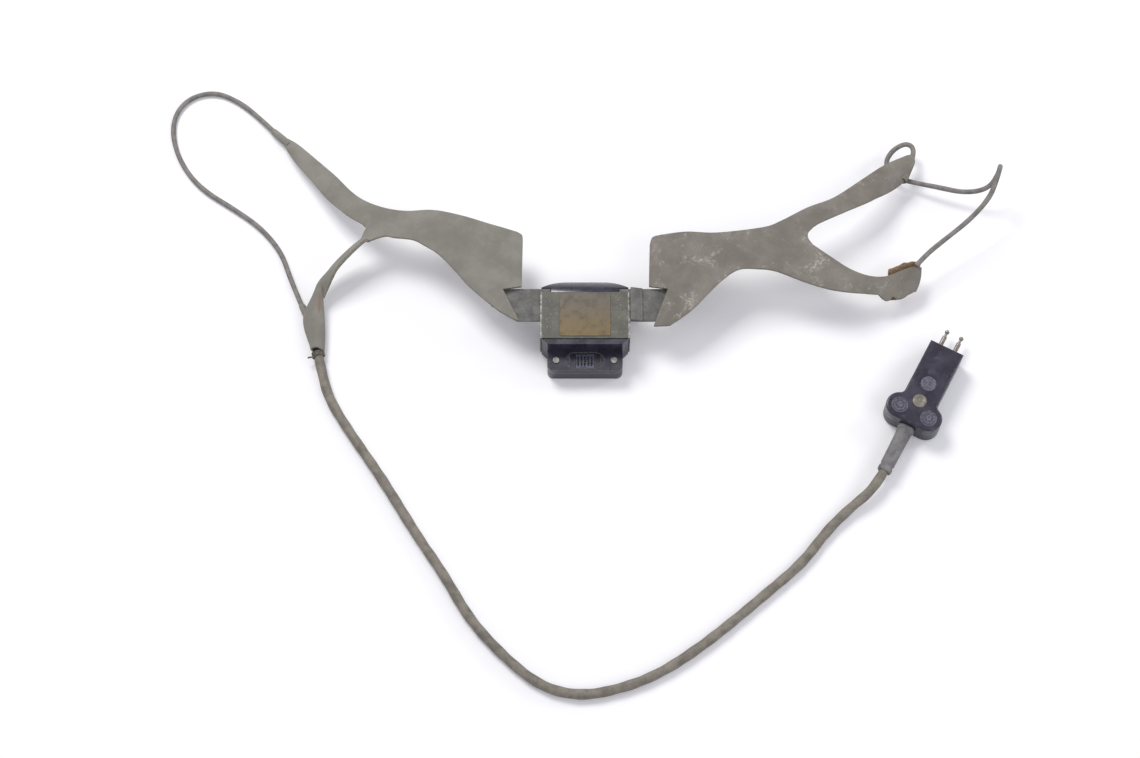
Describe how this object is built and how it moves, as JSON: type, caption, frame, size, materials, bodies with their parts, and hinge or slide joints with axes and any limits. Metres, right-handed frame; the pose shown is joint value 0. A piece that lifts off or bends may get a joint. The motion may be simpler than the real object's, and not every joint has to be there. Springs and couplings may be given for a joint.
{
  "type": "lip microphone headset",
  "caption": "Lip microphone on a forked rubberised ear-loop harness, folding at its two webbing straps, with a thin cord to a flat ball-tipped plug.",
  "frame": {"origin": "middle of the microphone's flat rear face, which rests on the table", "axes": "+Z out of the microphone's front, +X along the harness towards the right wing, +Y towards the microphone's crown"},
  "size_m": [0.3554, 0.2726, 0.0256],
  "materials": {
    "case": "glossy moulded phenolic",
    "band": "worn olive-grey paint",
    "label": "dull bronze",
    "grille": "dull",
    "steel": "dull plated",
    "brass": "dull",
    "foil": "bright",
    "carbon": "matt",
    "felt": "felt",
    "webbing": "woven webbing",
    "wing": "rubberised fabric",
    "cord": "worn rubber jacket",
    "loop": "rubber jacket",
    "plug": "glossy moulded phenolic",
    "plug_disc": "dull"
  },
  "bodies": {
    "left_side": {"left_wing": "wing", "left_strap": "webbing", "left_tip_sleeve": "loop", "left_cuff": "wing", "left_ear_loop": "loop", "cord_tie": "steel", "main_cord": "cord", "strain_relief": "cord", "plug_lower_shell": "plug", "plug_upper_shell": "plug", "plug_centre_screw": "brass", "plug_nut": "brass", "plug_lobe_screws": "plug_disc", "plug_insert": "plug_disc", "plug_pins": "steel", "plug_cord_clamp": "brass"},
    "microphone": {"rear_case": "case", "front_case": "case", "case_gasket": "cord", "front_grille": "grille", "rear_grille": "grille", "front_screen": "felt", "rear_screen": "felt", "tab_rivets": "steel", "case_screws": "steel", "retaining_band": "band", "label_plate": "label", "diaphragm": "foil", "diaphragm_ring": "brass", "felt_washer": "felt", "carbon_cup": "brass", "carbon_granules": "carbon", "button_bridge": "steel", "cup_nut": "brass", "contact_springs": "brass", "terminal_screws": "brass", "bridge_screws": "steel"},
    "electrode": {"front_electrode": "brass"},
    "right_side": {"right_wing": "wing", "right_strap": "webbing", "right_tip_sleeve": "loop", "right_cuff": "wing", "right_ear_loop": "loop"}
  },
  "joints": [
    {"name": "left_fold", "type": "hinge", "parent": "left_side", "child": "microphone", "pos_m": [-0.022, 0.00425, 0.01535], "axis": [0, 1, 0], "range_deg": [-75, 75], "deforming": ["left_strap"]},
    {"name": "right_fold", "type": "hinge", "parent": "microphone", "child": "right_side", "pos_m": [0.022, 0.00425, 0.01535], "axis": [0, 1, 0], "range_deg": [-75, 75], "deforming": ["right_strap"]},
    {"name": "electrode_travel", "type": "slide", "parent": "microphone", "child": "electrode", "axis": [0, 0, 1], "range_m": [-0.00015, 0.00015], "stiffness_N_per_m": 100, "deforming": ["diaphragm"]}
  ]
}
